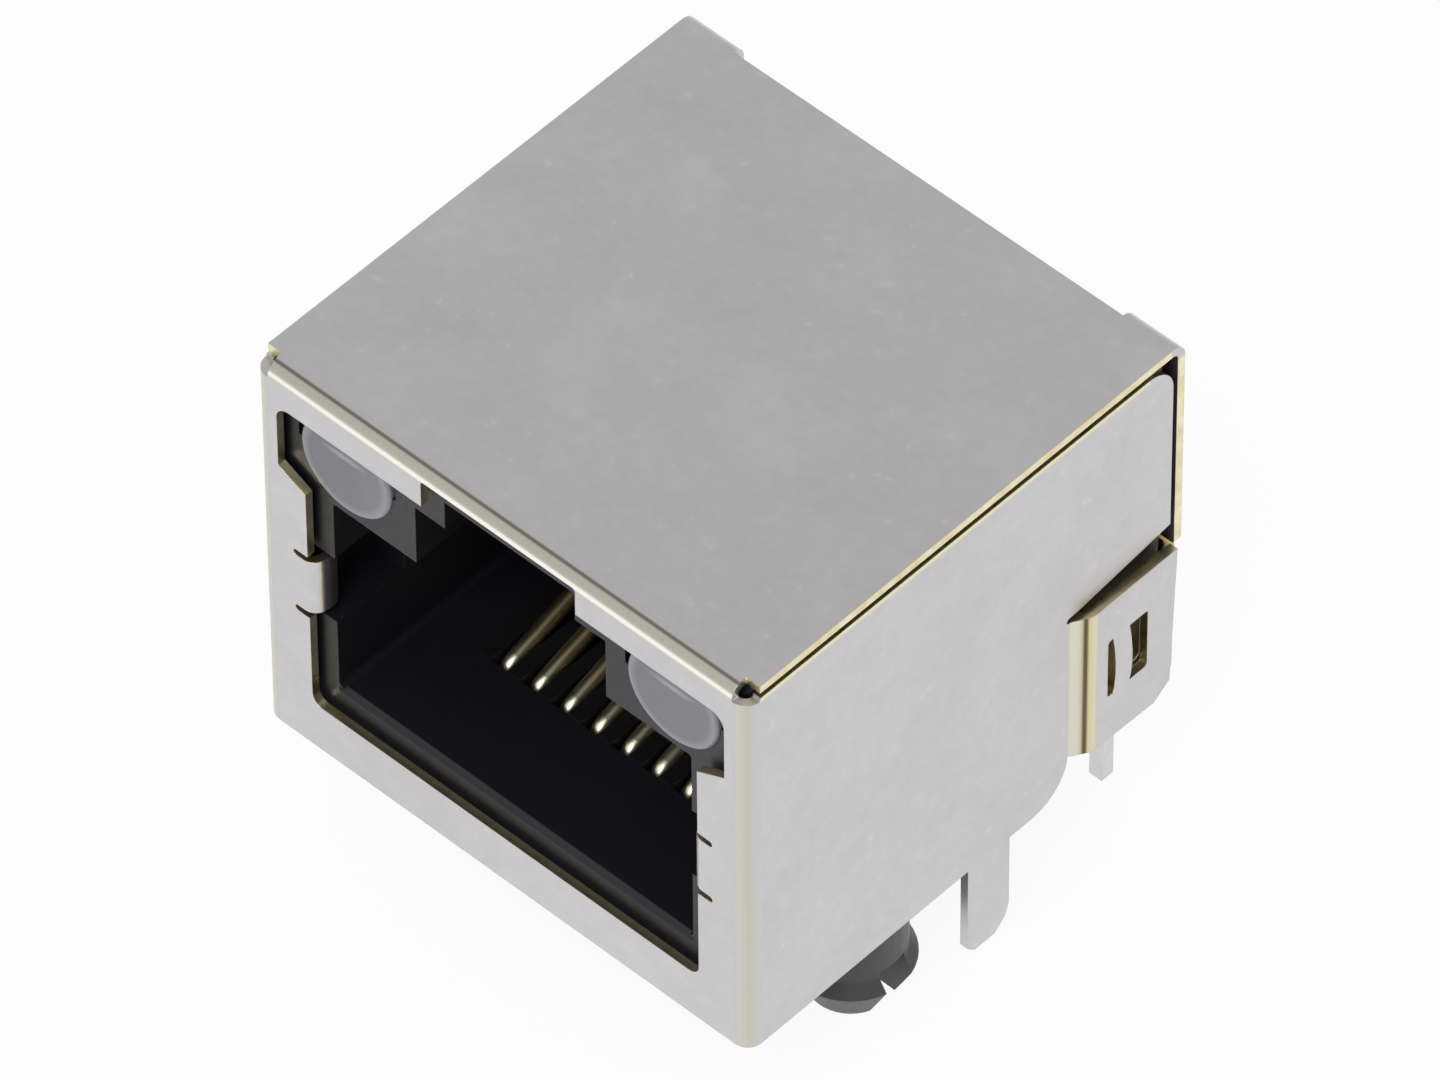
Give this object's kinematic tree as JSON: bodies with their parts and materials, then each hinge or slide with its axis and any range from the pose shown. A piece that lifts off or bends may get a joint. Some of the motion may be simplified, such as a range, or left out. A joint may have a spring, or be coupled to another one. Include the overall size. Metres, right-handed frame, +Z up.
{
  "type": "modular board jack",
  "caption": "Shielded right-angle modular jack for a circuit board, latch slot up, with spring contacts, snap pegs and two indicator lamps.",
  "frame": {"origin": "middle of the jack's width, 1.5 mm behind the front face, in the plane of the board's top", "axes": "+Z up from the board, +Y the way the plug goes in, +X to the right seen from the front"},
  "size_m": [0.0172, 0.0156, 0.0166],
  "materials": {
    "plated_sheet": "bright nickel plating, satin",
    "black_moulding": "moulded thermoplastic, fine texture",
    "carrier_moulding": "moulded thermoplastic, fine texture",
    "gold_wire": "gold plated, smooth",
    "milky_lens": "diffusing epoxy, smooth",
    "tinned_lead": "tin plated",
    "lamp_die": "semiconductor chip"
  },
  "bodies": {
    "root": {"shield": "plated_sheet", "housing": "black_moulding", "contact_carrier": "carrier_moulding", "contact_1": "gold_wire", "contact_2": "gold_wire", "contact_3": "gold_wire", "contact_4": "gold_wire", "contact_5": "gold_wire", "contact_6": "gold_wire", "contact_7": "gold_wire", "contact_8": "gold_wire", "left_lamp_lens": "milky_lens", "left_lamp_anode_lead": "tinned_lead", "left_lamp_cathode_lead": "tinned_lead", "left_lamp_die": "lamp_die", "right_lamp_lens": "milky_lens", "right_lamp_anode_lead": "tinned_lead", "right_lamp_cathode_lead": "tinned_lead", "right_lamp_die": "lamp_die"}
  },
  "joints": []
}
